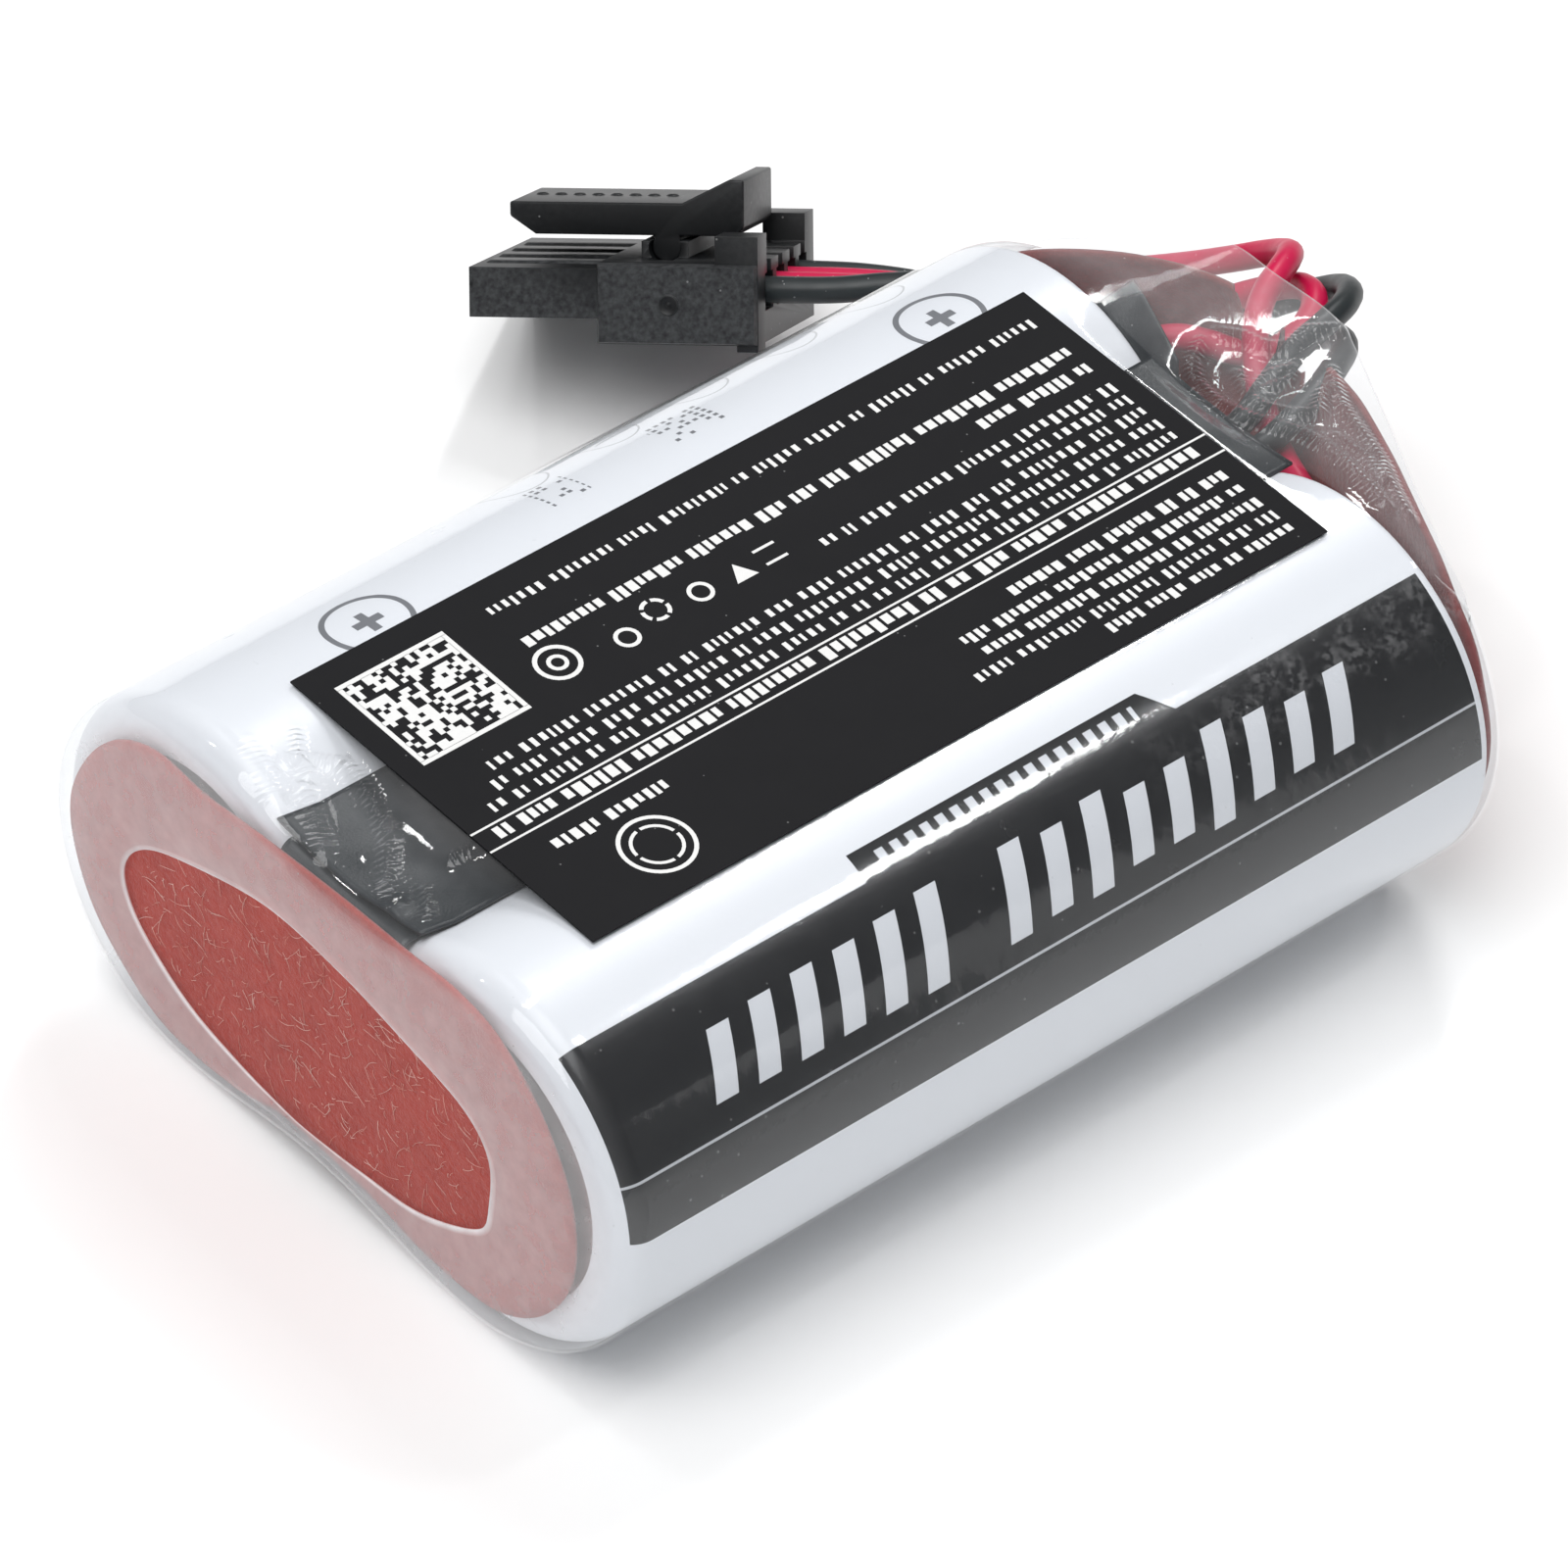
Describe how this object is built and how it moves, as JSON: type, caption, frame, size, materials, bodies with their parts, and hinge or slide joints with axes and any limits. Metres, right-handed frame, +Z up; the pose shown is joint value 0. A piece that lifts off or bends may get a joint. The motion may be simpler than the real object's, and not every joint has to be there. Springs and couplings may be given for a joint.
{
  "type": "battery pack",
  "caption": "Flat pack of round lithium cells side by side in clear shrink film, with fibre end sheets, a label, red and black leads and a latching wire plug.",
  "frame": {"origin": "on the pack's flat underside, below the middle of the cells", "axes": "+X along the cells towards the end the leads leave, +Y across the pack towards the plug, +Z up out of the label"},
  "size_m": [0.0636, 0.0593, 0.0191],
  "materials": {
    "can_steel": "nickel plated, satin",
    "seal_glass": "fused glass, glossy",
    "insulating_plastic": "satin",
    "lithium_foil": "dull soft foil",
    "separator_felt": "glass felt, matt",
    "carbon_sheet": "matt",
    "nickel_strip": "nickel strip, satin",
    "printed_sleeve": "white shrink sleeve with a printed black band, glossy",
    "black_wire": "soft wire covering, satin",
    "red_wire": "soft wire covering, satin",
    "black_tape": "cloth tape, satin",
    "fibre_sheet": "pressed fibre with light hairs, matt",
    "clear_film": "clear shrink film, glossy",
    "label_print": "matt black print film with white marks",
    "plug_nylon": "moulded nylon, satin",
    "contact_tin": "tinned, satin"
  },
  "bodies": {
    "pack": {"near_can": "can_steel", "near_cover": "can_steel", "near_glass_seal": "seal_glass", "near_pin": "can_steel", "near_cap_washer": "insulating_plastic", "near_terminal_cap": "can_steel", "near_anode": "lithium_foil", "near_separator": "separator_felt", "near_cathode": "carbon_sheet", "near_base_disc": "separator_felt", "near_top_disc": "separator_felt", "near_cathode_tab": "nickel_strip", "near_sleeve": "printed_sleeve", "near_positive_tab": "nickel_strip", "near_negative_tab": "nickel_strip", "far_can": "can_steel", "far_cover": "can_steel", "far_glass_seal": "seal_glass", "far_pin": "can_steel", "far_cap_washer": "insulating_plastic", "far_terminal_cap": "can_steel", "far_anode": "lithium_foil", "far_separator": "separator_felt", "far_cathode": "carbon_sheet", "far_base_disc": "separator_felt", "far_top_disc": "separator_felt", "far_cathode_tab": "nickel_strip", "far_sleeve": "printed_sleeve", "far_positive_tab": "nickel_strip", "far_negative_tab": "nickel_strip", "valley_tape": "black_tape", "black_run_1": "black_wire", "black_run_2": "black_wire", "base_end_sheet": "fibre_sheet", "lead_end_sheet": "fibre_sheet", "shrink_film": "clear_film", "label": "label_print", "red_lead_1": "red_wire", "red_lead_2": "red_wire", "black_lead_1": "black_wire", "black_lead_2": "black_wire", "plug_housing": "plug_nylon", "contact_1": "contact_tin", "contact_2": "contact_tin", "contact_3": "contact_tin", "contact_4": "contact_tin"},
    "lever": {"latch_lever": "plug_nylon"}
  },
  "joints": [
    {"name": "latch_press", "type": "hinge", "parent": "pack", "child": "lever", "pos_m": [0.02135, 0.03138, 0.00756], "axis": [0.7172, 0.447, -0.5346], "range_deg": [0, 8], "stiffness_Nm_per_rad": 0.02}
  ]
}
